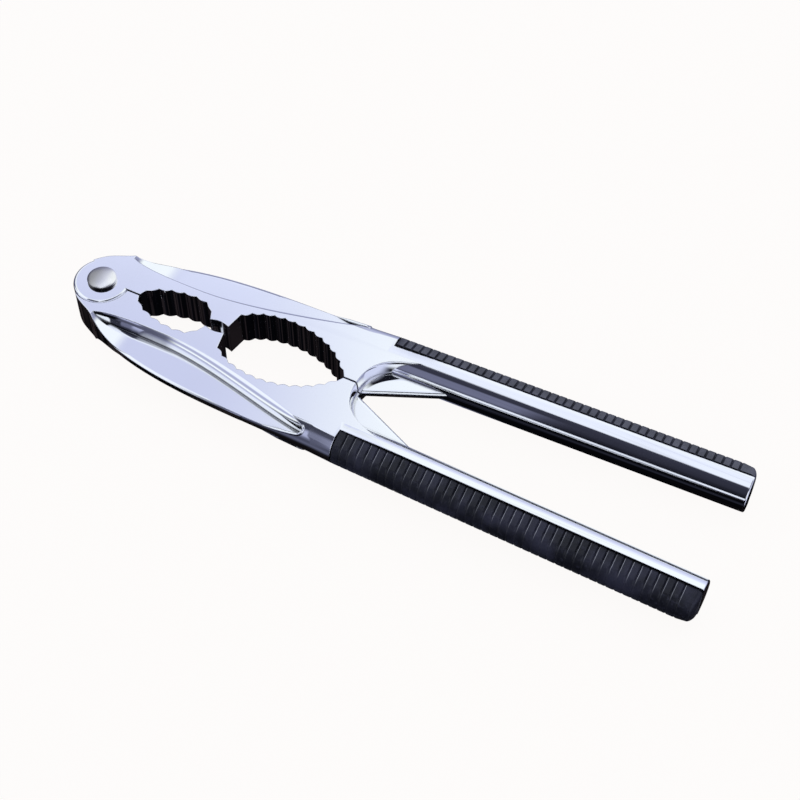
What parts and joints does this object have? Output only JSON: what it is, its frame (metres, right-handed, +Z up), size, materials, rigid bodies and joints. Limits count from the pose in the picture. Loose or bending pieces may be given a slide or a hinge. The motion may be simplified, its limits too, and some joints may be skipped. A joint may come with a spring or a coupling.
{
  "type": "lever nutcracker",
  "caption": "Hand-held lever nutcracker with a riveted pivot, toothed jaws forming a small and a large nut opening, and ribbed rubber grips set into round handles.",
  "frame": {"origin": "centre of the closed tool's footprint, on the surface that it lies on", "axes": "+X along the handles away from the pivot, +Y across the tool towards the upper lever, +Z up along the pivot axis towards the rivet's domed head"},
  "size_m": [0.1982, 0.05, 0.0148],
  "materials": {
    "chrome_lever": "polished chrome plate on die-cast zinc alloy",
    "rubber_grip": "moulded black rubber, ribbed across, dull sheen",
    "satin_rivet": "tumbled steel, soft satin sheen"
  },
  "bodies": {
    "lower_arm": {"lower_lever": "chrome_lever", "lower_grip": "rubber_grip", "pivot_rivet": "satin_rivet", "rivet_washer": "satin_rivet"},
    "upper_arm": {"upper_lever": "chrome_lever", "upper_grip": "rubber_grip"}
  },
  "joints": [
    {"name": "pivot", "type": "hinge", "parent": "lower_arm", "child": "upper_arm", "pos_m": [-0.09076, 0, 0.0075], "axis": [0, 0, 1], "range_deg": [0, 110]}
  ]
}
